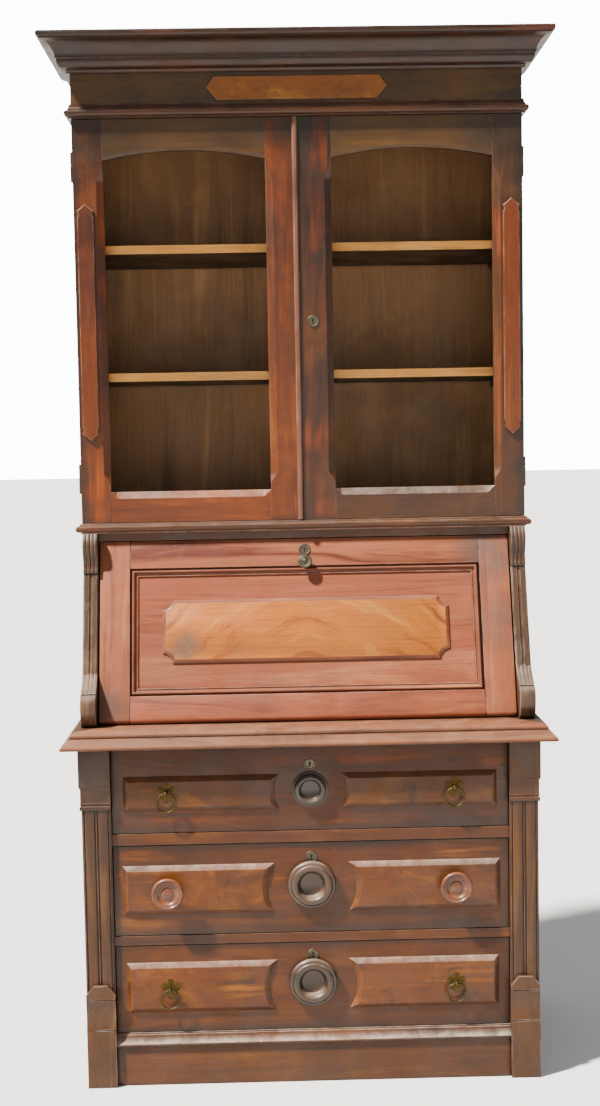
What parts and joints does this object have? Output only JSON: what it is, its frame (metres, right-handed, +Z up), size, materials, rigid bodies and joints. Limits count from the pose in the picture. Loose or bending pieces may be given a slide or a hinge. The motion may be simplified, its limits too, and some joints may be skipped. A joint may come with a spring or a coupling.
{
  "type": "slant-front secretary desk",
  "caption": "Tall free-standing secretary with drawers below a ledge, a slanted fall-front writing lid between scroll consoles, and a glazed bookcase under a deep moulded cornice.",
  "frame": {"origin": "on the floor, under the middle of the overall footprint", "axes": "+X to the viewer's right, -Y the front with the doors, lid and drawers, +Z up"},
  "size_m": [1.089, 0.519, 2.229],
  "materials": {
    "walnut_case": "worn oil and shellac finish",
    "walnut_dark": "darkened finish on the frieze and mouldings",
    "walnut_faded": "sun-faded finish on the fall front",
    "walnut_moulded": "finish rubbed pale along raised edges",
    "burl": "burl veneer under shellac",
    "secondary_wood": "unfinished softwood gone brown",
    "brass": "dull, unlacquered",
    "iron": "dark, lightly rusted",
    "glass": "old window glass"
  },
  "bodies": {
    "case": {"base_bottom": "secondary_wood", "base_sides": "walnut_case", "bookcase_back_boards": "secondary_wood", "bookcase_boards": "secondary_wood", "bookcase_shelves": "secondary_wood", "bookcase_sides": "walnut_case", "consoles": "walnut_moulded", "cornice": "walnut_moulded", "desk_sides": "walnut_case", "door_hinges_fixed": "brass", "drawer_rails": "walnut_moulded", "drawer_runners": "secondary_wood", "fascia_rail": "walnut_case", "frieze_board": "walnut_dark", "frieze_plaque": "burl", "ledge_board": "walnut_moulded", "lower_back_boards": "secondary_wood", "neck_moulding": "walnut_moulded", "pigeonholes": "secondary_wood", "pilasters": "walnut_case", "plinth": "walnut_case", "plinth_blocks": "walnut_case", "waist_board": "walnut_moulded", "writing_board": "walnut_case"},
    "lid": {"lid_frame": "walnut_faded", "lid_panel": "walnut_faded", "lid_moulding": "walnut_faded", "lid_tablet": "burl", "lid_knob": "brass", "lid_lock": "brass", "lid_pivots": "iron"},
    "left_door": {"left_door_frame": "walnut_case", "left_door_glass": "glass", "left_door_strip": "walnut_case", "left_door_hinge_leaves": "brass", "meeting_bead": "walnut_case"},
    "right_door": {"right_door_frame": "walnut_case", "right_door_glass": "glass", "right_door_strip": "walnut_case", "right_door_hinge_leaves": "brass", "right_door_lock": "brass"},
    "top_drawer": {"top_drawer_front": "walnut_case", "top_drawer_box": "secondary_wood", "top_drawer_ornament": "walnut_moulded", "top_drawer_lock": "brass", "top_drawer_pull_plates": "brass"},
    "middle_drawer": {"middle_drawer_front": "walnut_case", "middle_drawer_box": "secondary_wood", "middle_drawer_ornament": "walnut_moulded", "middle_drawer_lock": "brass", "middle_drawer_knobs": "walnut_moulded"},
    "bottom_drawer": {"bottom_drawer_front": "walnut_case", "bottom_drawer_box": "secondary_wood", "bottom_drawer_ornament": "walnut_moulded", "bottom_drawer_lock": "brass", "bottom_drawer_pull_plates": "brass"},
    "top_ring_left": {"top_drawer_left_ring": "brass"},
    "top_ring_right": {"top_drawer_right_ring": "brass"},
    "bottom_ring_left": {"bottom_drawer_left_ring": "brass"},
    "bottom_ring_right": {"bottom_drawer_right_ring": "brass"}
  },
  "joints": [
    {"name": "lid_hinge", "type": "hinge", "parent": "case", "child": "lid", "pos_m": [0, -0.15545, 0.7773], "axis": [1, 0, 0], "range_deg": [0, 107.3]},
    {"name": "left_door_hinge", "type": "hinge", "parent": "case", "child": "left_door", "pos_m": [-0.486, -0.0483, 1.625], "axis": [0, 0, -1], "range_deg": [0, 135]},
    {"name": "right_door_hinge", "type": "hinge", "parent": "case", "child": "right_door", "pos_m": [0.486, -0.0483, 1.625], "axis": [0, 0, 1], "range_deg": [0, 135]},
    {"name": "top_drawer_slide", "type": "slide", "parent": "case", "child": "top_drawer", "axis": [0, -1, 0], "range_m": [0, 0.33]},
    {"name": "middle_drawer_slide", "type": "slide", "parent": "case", "child": "middle_drawer", "axis": [0, -1, 0], "range_m": [0, 0.33]},
    {"name": "bottom_drawer_slide", "type": "slide", "parent": "case", "child": "bottom_drawer", "axis": [0, -1, 0], "range_m": [0, 0.33]},
    {"name": "top_left_ring_swing", "type": "hinge", "parent": "top_drawer", "child": "top_ring_left", "pos_m": [-0.304, -0.232, 0.63175], "axis": [-1, 0, 0], "range_deg": [0, 88]},
    {"name": "top_right_ring_swing", "type": "hinge", "parent": "top_drawer", "child": "top_ring_right", "pos_m": [0.304, -0.232, 0.63175], "axis": [-1, 0, 0], "range_deg": [0, 88]},
    {"name": "bottom_left_ring_swing", "type": "hinge", "parent": "bottom_drawer", "child": "bottom_ring_left", "pos_m": [-0.304, -0.232, 0.20925], "axis": [-1, 0, 0], "range_deg": [0, 88]},
    {"name": "bottom_right_ring_swing", "type": "hinge", "parent": "bottom_drawer", "child": "bottom_ring_right", "pos_m": [0.304, -0.232, 0.20925], "axis": [-1, 0, 0], "range_deg": [0, 88]}
  ]
}
